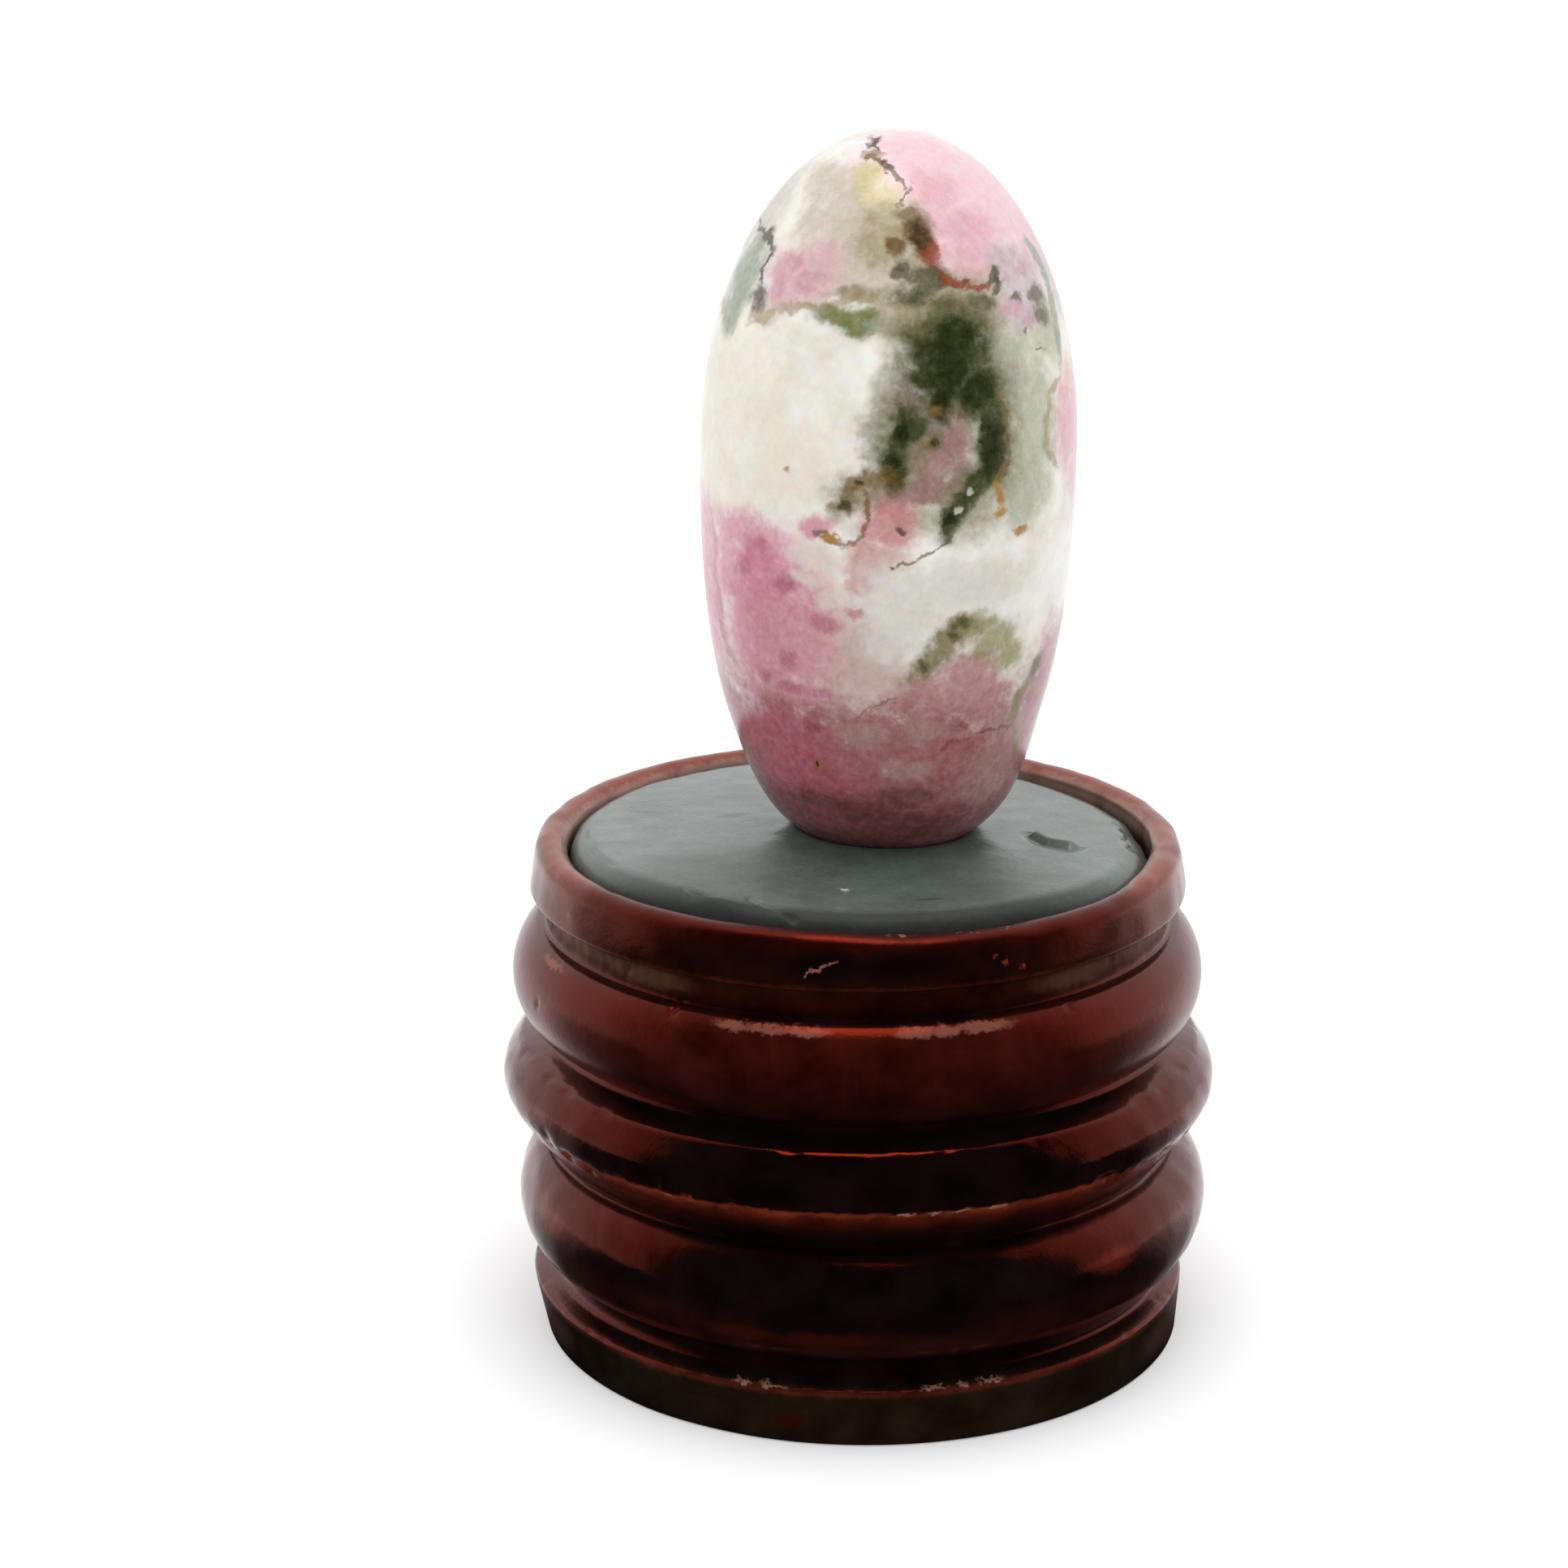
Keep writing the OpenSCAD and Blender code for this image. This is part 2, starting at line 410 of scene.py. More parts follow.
def dark_cloth(name, from_place, to_place, half_turn, shades):
    """A dark cloth round the front, seen only in the lacquer: a painted reflection that glows, its shades running
    from the front to the sides.
    """
    fabric = new_material(name)
    tree = fabric.node_tree
    # The angle round the axis, 0.5 at the front
    facing = add(tree, "ShaderNodeMapping", {
        "Vector": add(tree, "ShaderNodeTexCoord").outputs["Object"], "Rotation": (0, 0, math.radians(90))})
    angle = add(tree, "ShaderNodeTexGradient", {0: facing.outputs[0]}, gradient_type="RADIAL")
    mirrored = [(0.5 - turn / 360, linear(shade)) for turn, shade in reversed(shades)]
    mirrored += [(0.5 + turn / 360, linear(shade)) for turn, shade in shades]
    glow = add(tree, "ShaderNodeEmission", {"Color": ramped(tree, angle.outputs["Fac"], mirrored)})
    add(tree, "ShaderNodeOutputMaterial", {"Surface": glow.outputs[0]})
    bm = bmesh.new()
    corner = bm.verts.new(from_place)
    bmesh.ops.extrude_vert_indiv(bm, verts=[corner])["verts"][0].co = to_place
    start = Matrix.Rotation(math.radians(-half_turn), 3, "Z")
    bmesh.ops.rotate(bm, verts=bm.verts, cent=(0, 0, 0), matrix=start)
    bmesh.ops.spin(bm, geom=bm.verts[:] + bm.edges[:], cent=(0, 0, 0), axis=(0, 0, 1),
                   angle=math.radians(2 * half_turn), steps=96)
    cloth = make_object(bm, name, fabric)
    cloth.visible_camera = cloth.visible_diffuse = cloth.visible_shadow = False


dark_cloth("standing_cloth", (0, -CLOTH_R, 0.0), (0, -CLOTH_R, CLOTH_TOP), 100,
           [(0, "#030303"), (58, "#060606"), (66, "#303030"), (75, "#c0c0c0"), (100, "#f4f4f4")])
dark_cloth("table_cloth", (0, -0.0205, CLOTH_LIFT), (0, -CLOTH_R, CLOTH_LIFT), 112,
           [(0, "#030303"), (68, "#080808"), (82, "#303030"), (96, "#a0a0a0"), (112, "#ffffff")])


# ---------------------------------------------------------------- materials

# Red-brown lacquer over turned wood, brushed on thick and polished: almost black face-on, red where
# it mirrors light, with painted shade black in the grooves and low down, dusty under the rim, worn to brick red on
# the arrises with painted highlight there.
lacquer = new_material("polished_red_lacquer")
tree = lacquer.node_tree
place = add(tree, "ShaderNodeTexCoord").outputs["Object"]
height = add(tree, "ShaderNodeSeparateXYZ", {0: place}).outputs["Z"]
patchy = lumps(tree, place, 3.0 * MM, 5.0, 0.6)
grainy = lumps(tree, place, 0.5 * MM, 4.0, 0.65)
# The level is shifted a little by noise, so that the edges of the bands, worn and painted shade alike, are uneven
shift = ranged(tree, grainy["Fac"], -0.25 * MM, 0.25 * MM)
level = maths(tree, "DIVIDE", maths(tree, "ADD", height, shift), STAND_TOP * MM)
# Body colour by height, with painted shade: near black in the grooves, on the ridge's nose and on the lower bead's
# upper half, and the upper bead darker towards its foot. The brick red under the ridge's arris is a painted
# reflection, and the arrises are worn brick red with painted highlight on them.
coat_and_shade_stops = [
    (0.0, "#171c13"), (3.4, "#171a12"), (3.75, "#4c1d13"), (4.0, "#1a130e"), (4.5, "#0b0b08"),
    (5.8, "#0d0b08"), (6.6, "#220c0a"), (8.3, "#1c0a09"), (9.6, "#0c0807"), (12.6, "#0d0b09"),
    (13.6, "#0c0807"), (14.7, "#1a0a08"), (15.4, "#3c120b"), (15.9, "#561d11"), (16.2, "#743020"),
    (16.5, "#150807"), (17.6, "#0c0706"), (20.2, "#0e0706"), (20.8, "#0b0b08"), (21.6, "#1a0a09"),
    (23.6, "#270c0b"), (27.0, "#330e0b"), (27.8, "#260d0a"), (28.1, "#0c0a07"), (28.7, "#15120c"),
    (29.6, "#1d170f"), (30.0, "#431a10"), (30.5, "#180a08"), (32.0, "#1b0908"), (32.7, "#220a07"),
    (33.4, "#1c0805")]
coat_and_shade = ramped(tree, level, [(z / STAND_TOP, linear(c)) for z, c in coat_and_shade_stops])
dull_stops = [
    (0.0, 0.4), (3.5, 0.34), (3.9, 0.2), (4.6, 0.24), (5.6, 0.2), (6.3, 0.14), (12.2, 0.12), (12.9, 0.24),
    (13.6, 0.2), (15.9, 0.22), (16.2, 0.28), (16.7, 0.08), (20.3, 0.07), (21.2, 0.2), (22.0, 0.24),
    (27.2, 0.22), (28.0, 0.2), (28.6, 0.6), (29.7, 0.5), (30.5, 0.18), (32.3, 0.18), (33.2, 0.28)]
dull = ramped(tree, level, [(z / STAND_TOP, (d, d, d, 1)) for z, d in dull_stops])
mottle = ranged(tree, patchy["Fac"], 0.45, 1.55, 0.3, 0.7)
colour = scaled(tree, coat_and_shade, mottle)
spot = wandering(tree, in_mm(tree, place), grainy)
sides_and_back = [turn for turn in range(-170, 181, 20) if not -65 < turn < 65]
colour = with_marks(tree, spot, colour, [
    # painted dark reflection at the front of the rim and the lower bead, and reddened patches on the lower bead
    # and the base
    ("#0b0706", 0.5, marks(21.0, 31.7, 0.8, (-14, 1), (-3, 15)) + marks(22.6, 8.9, 0.8, (-20, 4), (2, 16))),
    ("#2e0e0a", 0.5, marks(22.5, 7.7, 0.5, (-26, -14), (-15, 3)) + marks(21.1, 1.6, 0.5, (-15, -10), (62, 70))),
    # dust on the base and the upper neck, laid only at the sides and back, where it is also painted reflection of
    # the bright sides
    ("#3a2b23", 0.5, marks(
        21.2, 1.9, 1.2, (58, 80), (88, 112), (-86, -60), (-118, -94), (150, 175), (-160, -139))),
    ("#3b3529", 0.5, marks(
        20.4, 29.1, 0.7, (-76, -50), (-54, -30), (30, 52), (50, 78), (84, 118), (126, 168), (-172, -124),
        (-118, -82))),
    ("#4a190f", 0.5, marks(22.5, 10.5, 0.7, (40, 49), (-66, -57), (118, 133))),
    # the lip is lighter at the sides and the back: painted light on its shaded inner wall and painted reflection
    # over wear, with a pale painted reflection along its inner side
    ("#85564a", 0.5, ring(19.3, 33.0, (4.4, 1.5, 1.9), sides_and_back)),
    ("#a58f85", 0.5, ring(18.8, 32.6, (4.0, 0.55, 0.75), sides_and_back)),
    # painted highlight along the top of the upper bead
    ("#7a4d40", 0.5, marks(
        21.2, 27.5, 0.24, (-25, -19), (-20, -12), (-14, -6), (5, 12), (11, 17), (15, 25), (-70, -62), (158, 171))),
    # specks and scratches; the orange and pale dashes along the arrises and on the lip's front are painted
    # highlights
    ("#6a2814", 0.5, marks(21.1, 31.4, 0.16, (23.4, 24.4), (-61, -60))
     + marks(21.1, 30.9, 0.2, (26.6, 27.7), (141, 143)) + marks(21.0, 31.8, 0.14, (21.5, 22.2))
     + marks(22.9, 16.3, 0.14, (-20, -12), (-10, -3), (28, 33), (-58, -48))),
    ("#8f6657", 0.5, marks(
        22.9, 16.25, 0.09, (5, 8), (10, 11.5), (13, 17), (18.5, 23), (-33, -31), (140, 147), (-122, -117))
     + marks(21.5, 3.95, 0.09, (-22, -19), (-17.5, -13), (10, 14), (16, 18), (20, 24), (-140, -133))
     + marks(19.6, 33.35, 0.08, (4, 9), (11, 13), (15, 21), (24, 26))),
    ("#85564a", 0.5, [
        (on_stand(-9.6, 21.1, 31.25), (0.07, 0.8, 0.36), 50, -9.6),
        (on_stand(-8.1, 21.1, 31.4), (0.09, 0.8, 0.3), -75, -8.1),
        (on_stand(-6.9, 21.05, 31.55), (0.09, 0.8, 0.3), 45, -6.9),
        (on_stand(-5.6, 21.0, 31.9), (0.07, 0.8, 0.36), 60, -5.6)]),
])
bump = bumped(tree, patchy["Fac"], 0.25, 0.12)
bump = bumped(tree, grainy["Fac"], 0.3, 0.05, bump)
shell = add(tree, "ShaderNodeBsdfPrincipled", {
    "Base Color": colour, "Roughness": dull, "IOR": 1.5, "Specular IOR Level": 1.0,
    "Specular Tint": (1.0, 0.06, 0.01, 1), "Normal": bump})
add(tree, "ShaderNodeOutputMaterial", {"Surface": shell.outputs[0]})

# Grey-green oil putty, thumbed flat: smooth with an oily sheen, smudged, with painted shade darkening its edge and
# its front
putty = new_material("grey_putty")
tree = putty.node_tree
place = add(tree, "ShaderNodeTexCoord").outputs["Object"]
smudge = lumps(tree, place, 4.0 * MM, 4.0, 0.6)
fine = lumps(tree, place, 0.35 * MM, 3.0)
tone = ramped(tree, smudge["Fac"], [
    (0.3, linear("#4a5650")), (0.5, linear("#53605a")), (0.7, linear("#5e6b65"))])
spot = wandering(tree, in_mm(tree, place), fine)
tone = with_marks(tree, spot, tone, [
    # small nicks, and one pale crumb
    ("#3a3f3a", 0.5, [
        ((-13.3, 6.4, 33.6), (1.2, 0.35, 1), 0, 20), ((-14.2, 3.8, 33.7), (0.9, 0.3, 1), 0, -15),
        ((-8.4, 2.4, 33.6), (1.0, 0.4, 1), 0, 30), ((-7.0, 1.3, 33.6), (0.7, 0.3, 1), 0, 10),
        ((9.0, 7.5, 33.3), (1.1, 0.4, 1), 0, -25), ((4.0, -14.5, 33.6), (0.9, 0.25, 1), 0, 5)]),
    ("#d8d6cc", 0.4, [((-1.16, -12.61, 33.6), (0.26, 0.2, 0.6), 0, 0)]),
])
# Painted shade darkens the edge, most of all at the front; the edge is also rougher
flat = add(tree, "ShaderNodeMapping", {"Vector": place, "Scale": (1 / MM, 1 / MM, 0)})
from_axis = add(tree, "ShaderNodeVectorMath", {0: flat.outputs[0]}, operation="LENGTH").outputs["Value"]
edge = ranged(tree, from_axis, 0.0, 1.0, 16.7, 18.0, "SMOOTHSTEP")
front_shade_share = ranged(tree, patch_mask(tree, spot, [((1, -19, 33), (18, 10, 6), 0, 0)], 0.5), 0.3, 0.9)
edge_shade_and_dull = maths(tree, "MULTIPLY", edge, front_shade_share)
tone = laid(tree, edge_shade_and_dull, tone, "#191c13")
# Duller in front of the stone, where it was handled, and painted shade there: the tone is lightened everywhere
# else
handled_and_shaded = patch_mask(tree, spot, [((-1, -12, 33.7), (16, 8, 6), 0, 0)], 0.5)
tone = scaled(tree, tone, ranged(tree, handled_and_shaded, 1.3, 1.0))
gloss = maths(tree, "MULTIPLY_ADD", edge_shade_and_dull, 0.3, ranged(tree, handled_and_shaded, 0.2, 0.48))
bump = bumped(tree, smudge["Fac"], 0.08, 0.15)
bump = bumped(tree, fine["Fac"], 0.3, 0.06, bump)
tone = scaled(tree, tone, ranged(tree, fine["Fac"], 0.82, 1.18, 0.3, 0.7))
shell = add(tree, "ShaderNodeBsdfPrincipled", {
    "Base Color": tone, "Roughness": gloss, "IOR": 1.7, "Normal": bump})
add(tree, "ShaderNodeOutputMaterial", {"Surface": shell.outputs[0]})

# River-worn jasper, tumbled and polished to a soft shine: milky quartz with pink, olive and green clouds
jasper = new_material("polished_jasper")
tree = jasper.node_tree
place = add(tree, "ShaderNodeTexCoord").outputs["Object"]
centred = in_mm(tree, place, (STONE_X, STONE_Y, GIRTH_Z))
wide = lumps(tree, centred, 2.6, 3.0, 0.55)
close = lumps(tree, centred, 0.7, 3.0, 0.6)
spot = wandering(tree, wandering(tree, centred, wide, 1.7), close, 0.9)
# Mineral patches, the lowest partly painted shade: colour, strength, softness, then (bearing, height over girth,
# half-width, half-height, tilt)
minerals_and_shade = [
    ("#f0e8d8", 0.7, 0.5, [
        (-59, 4.5, 4.5, 3.9, 0), (-34, 1.0, 3.4, 2.8, 0), (-61, -1.7, 3.2, 2.6, 0), (-110, 3, 5, 6, 0),
        (120, -2, 4, 5, 0), (175, 9, 5, 4, 0)]),
    ("#cbbfb0", 0.9, 0.5, [
        (-38, 15.0, 1.6, 1.0, 0), (-19, 15.5, 3.4, 2.5, 0), (-20, 12.9, 3.3, 1.9, 0), (-6, 11.9, 2.2, 1.5, 0),
        (-38, 17.0, 2.6, 1.3, 0), (-95, 15, 4, 3, 0), (150, 13, 4, 3, 0)]),
    ("#b4b79e", 0.85, 0.5, [
        (47, 2.9, 2.5, 4.9, 0), (42, -1.0, 2.8, 2.6, 0), (39, 7.0, 2.0, 2.1, 0), (61, 8.4, 1.9, 2.1, 0),
        (7, -2.3, 1.5, 0.9, 0), (105, 5, 3, 6, 0), (-150, -3, 4, 5, 20)]),
    ("#efc9d2", 0.95, 0.5, [
        (34, 17.5, 5.1, 3.4, 30), (35, 14.5, 3.7, 2.3, 10), (22, 18.9, 2.9, 1.2, 0), (55, 15.3, 3.1, 2.5, 0),
        (80, 15, 6, 4, 0), (120, 16.5, 5, 3, 0)]),
    ("#dfaab4", 0.7, 0.5, [
        (34, 14.5, 2.1, 1.2, 0), (25, 13.0, 2.6, 1.0, 0), (35, 12.0, 1.9, 0.9, 0), (22, 16.8, 1.7, 1.1, 0),
        (95, 13, 3, 1.5, 20)]),
    ("#dab3b9", 0.9, 0.45, [
        (-38, 11.9, 2.9, 1.9, 0), (-42, 10.7, 1.7, 0.9, 0), (-30, 12.9, 1.3, 1.2, 0), (-120, 11, 3, 2.5, 0)]),
    ("#c9959d", 0.55, 0.5, [
        (-35, 11.6, 1.0, 0.7, 0), (-45, 11.3, 0.7, 0.9, 0), (-42, 12.6, 0.8, 0.5, 0),
        (-30, 12.0, 0.5, 0.4, 0)]),
    ("#cdbf80", 0.8, 0.5, [
        (-19, 17.4, 0.9, 1.1, 0), (-10, 16.5, 1.4, 0.7, 0), (-2, 15.9, 0.6, 0.7, 0), (160, 16.5, 1.5, 1.2, 0)]),
    ("#aa9c7a", 0.85, 0.5, [
        (-2, 15.0, 1.9, 1.2, 0), (-5, 13.8, 1.8, 1.3, 0), (7, 15.6, 0.9, 0.6, 0), (9, 13.1, 1.0, 1.0, 0),
        (140, 9, 4, 1.6, 10)]),
    ("#978e6c", 0.85, 0.5, [
        (22, 10.8, 3.2, 1.3, 0), (31, 9.5, 2.0, 1.2, 0), (16, 9.9, 2.1, 1.2, 0), (-3, 9.4, 2.3, 0.9, 0),
        (-13, 11.1, 1.8, 0.5, 0), (7, 9.6, 1.6, 1.3, 0), (115, 9.6, 3.5, 1.8, 0), (-165, 8, 3, 1.2, -10)]),
    ("#c4b0b6", 0.8, 0.5, [
        (53, 11.7, 2.5, 1.4, 0), (50, 9.5, 2.1, 1.3, 0), (48, 12.6, 1.5, 0.9, 0), (88, 10.5, 3, 2.4, 0)]),
    ("#c9929f", 0.6, 0.5, [
        (44, 9.8, 1.1, 0.7, 0), (51, 8.9, 0.7, 0.5, 0), (55, 11.9, 0.7, 0.4, 0)]),
    ("#8f9c88", 0.85, 0.45, [
        (-70, 11.2, 2.2, 2.7, 12), (-70, 9.5, 1.4, 1.9, 0), (-18, 9.7, 2.1, 0.7, -4), (-11, 9.3, 1.1, 0.6, 0),
        (-24, 9.8, 0.9, 0.5, 0), *vein(0.52, (70, 13.0), (72, 11.4), (69, 9.0), (67, 6.2)),
        *vein(0.41, (-68, -4.6), (-67, -8.2), (-64, -11.3), (-59, -13.0)), (100, 8, 1.6, 4, -10),
        (-100, -11, 1.6, 5, 10), (-140, 10, 3, 1, 0)]),
    ("#7d7d3a", 0.8, 0.5, [
        (-18, 9.7, 1.7, 0.5, -4), (-12, 9.2, 0.6, 0.4, 0), (-23, 10.0, 0.5, 0.3, 0), (-8, 10.0, 0.6, 0.4, 0)]),
    ("#a8906a", 0.7, 0.5, [
        (-51, 9.4, 1.1, 0.5, 0),
        *vein(0.31, (-55, 8.8), (-43, 9.9), (-28, 10.0), (-15, 11.0), (-1, 10.4), (10, 10.8)),
        *vein(0.26, (64, 5.1), (56, 4.4), (52, 2.7), (54, 0.9), (60, -0.1)),
        *vein(0.4, (-75, 8.6), (-100, 9.4), (-130, 9.0), (-160, 9.8), (-178, 9.2))]),
    ("#e0aab3", 0.9, 0.4, [
        (72, 2.1, 2.6, 3.4, 0), (82, 0.5, 3, 4.5, 0), (96, 1.5, 3.5, 3.4, 0)]),
    ("#b0aca0", 0.75, 0.5, [
        (-2, 4.8, 1.1, 2.3, 0), (-5, 2.5, 0.9, 2.1, 0), (2, 6.3, 0.9, 1.5, 0), (37, 5.6, 1.5, 1.8, 0)]),
    ("#86756c", 0.92, 0.5, [
        (12, 2.9, 2.7, 3.0, 0), (9, 5.1, 1.8, 1.4, 0), (7, -0.2, 2.4, 1.0, 0), (22, 0.1, 1.7, 1.3, 0),
        (-172, 2, 3, 3, 0)]),
    ("#a8777a", 0.7, 0.5, [
        (19, 2.6, 0.9, 2.1, 0), (12, 0.8, 1.6, 0.9, 0), (0, -0.9, 1.8, 1.0, 0), (11, -0.5, 1.8, 0.8, 0)]),
    ("#c98587", 0.85, 0.5, [
        (-2, -2.5, 1.8, 1.8, 0), (-5, -4.8, 1.8, 1.3, 0), (-9, -6.2, 0.9, 0.8, 0), (170, -3, 3.5, 3, 20)]),
    ("#dc9cad", 0.9, 0.5, [
        (-48, -4.3, 4.0, 1.7, 0), (-42, -6.1, 4.3, 2.2, 0), (-55, -6.2, 2.7, 2.2, 0), (-22, -3.0, 1.2, 0.7, 0),
        (-85, -6.5, 5, 4, 0), (-115, -8, 4, 3.5, 0)]),
    ("#d0819a", 0.8, 0.5, [
        (-46, -8.8, 3.3, 2.1, 0), (-49, -11.2, 3.0, 2.4, 0), (-36, -7.0, 1.5, 1.0, 0), (-43, -5.6, 1.6, 0.9, 0),
        (-80, -11, 4, 4, 0)]),
    ("#cf909c", 0.9, 0.5, [
        (-29, -10.9, 4.6, 4.1, 0), (-21, -9.4, 3.1, 2.7, 0), (-38, -13.9, 3.9, 2.2, 0), (-105, -14, 6, 4, 0),
        (165, -9, 4, 3, 20)]),
    ("#e2d6ce", 0.75, 0.5, [
        (-24, -5.0, 1.9, 0.9, 0), (-27, -6.5, 1.3, 0.5, 0), (-9, -9.3, 1.8, 1.6, 0), (-17, -7.6, 1.1, 0.7, 0)]),
    ("#ccb2ac", 0.85, 0.5, [
        (-5, -12.6, 2.9, 2.0, 0), (-9, -10.6, 1.8, 1.6, 0), (-15, -15.0, 1.6, 0.8, 0), (6, -13.3, 2.1, 1.1, 0),
        (140, -12, 6, 3, 0)]),
    ("#dedad2", 0.8, 0.5, [
        (3, -7.5, 3.2, 2.3, 50), (22, -6.7, 3.9, 1.5, 0), (1, -10.0, 1.9, 1.4, 0)]),
    # from here the foot's rose grows darker towards the seat: stone colour with painted shade
    ("#9c6066", 0.97, 0.35, [
        (0, -26.4, 17, 12, 0)]),
    ("#b98489", 0.9, 0.5, [
        (22, -13.7, 3.4, 1.9, 0), (25, -12.2, 2.5, 1.2, 0), (34, -14.4, 2.1, 1.9, 0), (75, -13, 4, 2.6, 0),
        (110, -14.5, 5, 3, 0)]),
    ("#a4686d", 0.95, 0.45, [
        (-28, -17.8, 6.6, 3.2, 0), (2, -16.7, 5.8, 2.5, 0), (20, -18.6, 5.1, 2.9, 0), (-5, -20.1, 7.8, 1.8, 0),
        (78, -17, 7, 4, 0), (120, -18, 7, 4.5, 0), (160, -17, 7, 4.5, 0), (-155, -17.5, 7, 4.5, 0),
        (-110, -18, 7, 4, 0), (-75, -18.5, 6, 4, 0)]),
    ("#b55f70", 0.75, 0.5, [
        (-44, -17.2, 3.6, 1.9, 0), (-38, -19.3, 3.4, 2.5, 0), (-33, -20.9, 3.7, 1.4, 0), (-95, -17, 5, 2.5, 0),
        (150, -16, 3, 2, 0)]),
    ("#ad8c89", 0.7, 0.5, [
        (46, -19.6, 2.5, 2.1, 0), (49, -17.1, 1.9, 1.4, 0), (43, -21.8, 2.4, 1.5, 0), (13, -16.1, 1.4, 0.8, 0),
        (-8, -16.3, 1.4, 0.9, 0), (8, -18.9, 1.6, 0.8, 0), (100, -19, 4, 3, 0)]),
    # darker rings round the seat: painted shade
    ("#8c4d53", 0.9, 0.5, [
        (-23, -22.1, 5.4, 1.6, 0), (-4, -23.3, 5.7, 1.8, 0), (-57, -22.3, 2.8, 1.1, 0),
        (24, -22.7, 2.8, 1.2, 0), (0, -26.4, 7.4, 2.6, 0), (85, -23.6, 7, 2, 0), (150, -23.6, 8, 2, 0),
        (-150, -23.6, 8, 2, 0), (-90, -23.6, 7, 2, 0)]),
    ("#5f3a36", 0.6, 0.5, [
        (-4, -22.1, 2.6, 0.9, 0), (11, -23.2, 2.6, 1.0, 0), (-26, -24.7, 4.0, 1.0, 0), (7, -20.8, 2.3, 0.6, 0),
        (-31, -21.5, 3.0, 0.4, 0), (180, -25.6, 6, 1, 0)]),
    ("#857c50", 0.9, 0.5, [
        (25, -9.4, 1.1, 0.9, 0), *vein(0.88, (25, -9.2), (20, -10.0), (14, -10.9), (9, -12.2)),
        *vein(0.46, (60, -13.0), (55, -13.8), (51, -15.0), (51, -16.2)),
        *vein(0.26, (50, -16.7), (55, -18.0), (62, -19.3)), *vein(0.5, (95, -11), (105, -13), (118, -13.6)),
        *vein(0.5, (-130, -9), (-140, -11), (-143, -13))]),
    ("#a09d70", 0.85, 0.5, [
        (35, -10.5, 1.6, 1.4, 0), (42, -11.7, 1.2, 1.1, 0), (30, -9.3, 1.2, 0.9, 0)]),
    ("#55562f", 0.75, 0.5, [
        (24, -9.3, 0.6, 0.4, 0), (21, -10.0, 0.4, 0.4, 0), (10, -11.9, 0.4, 0.6, -20),
        (58, -13.2, 0.7, 0.6, 0)]),
    ("#5f5c40", 0.85, 0.45, [
        (2, 12.3, 0.6, 0.8, 0), (11, 11.8, 1.6, 0.7, 0), (6, 10.9, 1.5, 0.6, 0), (17, 9.6, 1.8, 1.2, 0),
        (22, 9.1, 1.7, 0.9, 0), (12, 8.8, 1.4, 1.2, 0), (30, 10.3, 1.4, 0.6, 0), (60, 10.3, 0.8, 0.6, 0),
        (60, 9.1, 0.8, 0.7, 0), (47, 10.4, 0.5, 0.3, 0),
        *vein(0.21, (37, 11.5), (41, 11.8), (42, 11.3), (38, 10.9)), (135, 8.4, 1.5, 0.7, 0)]),
    ("#75592e", 0.9, 0.45, [
        (9, 14.6, 1.1, 1.2, -30), (12, 13.8, 0.8, 0.8, 0), (5, 15.5, 0.9, 0.4, 0), (0, 13.9, 0.6, 0.6, 0),
        *vein(0.15, (-36, 19.2), (-21, 18.5), (-10, 18.0), (-4, 17.7), (1, 17.4), (5, 17.0), (3, 15.6))]),
    ("#45321a", 0.85, 0.5, [
        (10, 14.3, 0.6, 0.8, -30), (13, 13.9, 0.4, 0.5, 0), (-10, 18.1, 0.3, 0.2, -40),
        (-5, 17.7, 0.3, 0.2, -40), (-29, 18.9, 0.2, 0.4, 0), (-54, 10.2, 0.7, 0.6, 0), (-65, 13.5, 0.6, 0.4, 0),
        (-57, 12.9, 0.4, 0.3, 0),
        *vein(0.16, (-89, 14.0), (-66, 13.6), (-56, 12.8), (-56, 11.7), (-55, 10.7), (-53, 9.7))]),
    ("#4d4f3a", 0.7, 0.5, [
        (14, 12.1, 0.5, 0.4, 0), (17, 11.6, 0.4, 0.3, 0), (2, 12.5, 0.2, 0.3, 0), (8, 10.9, 0.3, 0.3, 0),
        (5, 10.7, 0.3, 0.2, 0), (24, 9.0, 0.3, 0.2, 0), (41, 11.5, 0.3, 0.3, 0), (55, 7.0, 0.5, 0.1, 0),
        (48, 8.3, 0.2, 0.3, 0), (19, 10.2, 0.4, 0.3, 0)]),
    ("#93422a", 0.85, 0.45, [
        (14, 13.0, 0.6, 0.9, 0), (16, 13.5, 0.4, 0.6, 0), (22, 11.7, 1.0, 0.3, 0), (31, 11.3, 1.1, 0.2, 0),
        (128, 10.6, 1.2, 0.4, 0)]),
    ("#8b8363", 0.7, 0.5, [
        (16, 7.4, 3.3, 3.3, 0), (26, 5.4, 2.8, 2.3, 0), (33, 2.1, 1.8, 3.4, 0), (2, 2.5, 1.8, 2.8, 0),
        (22, -1.5, 2.0, 2.2, 0), (-10, -0.5, 2.1, 1.2, 0), (176, 3, 2.6, 4, 10)]),
    ("#414921", 0.93, 0.5, [
        (15, 7.2, 2.5, 2.6, 0), (9, 6.8, 1.1, 2.0, 0), (21, 7.8, 2.3, 1.9, 0), (5, 3.6, 1.0, 0.9, 0),
        (26, 5.3, 1.8, 1.5, 0), (14, 5.1, 1.1, 1.5, 0), (31, 2.3, 1.2, 2.7, 0), (0, 1.1, 1.0, 1.3, 0),
        *vein(1.03, (24, 6.3), (30, 4.7), (32, 3.0), (32, 1.2), (30, 0.2)),
        *vein(0.82, (4, 4.0), (2, 2.8), (0, 1.7), (0, 0.3)),
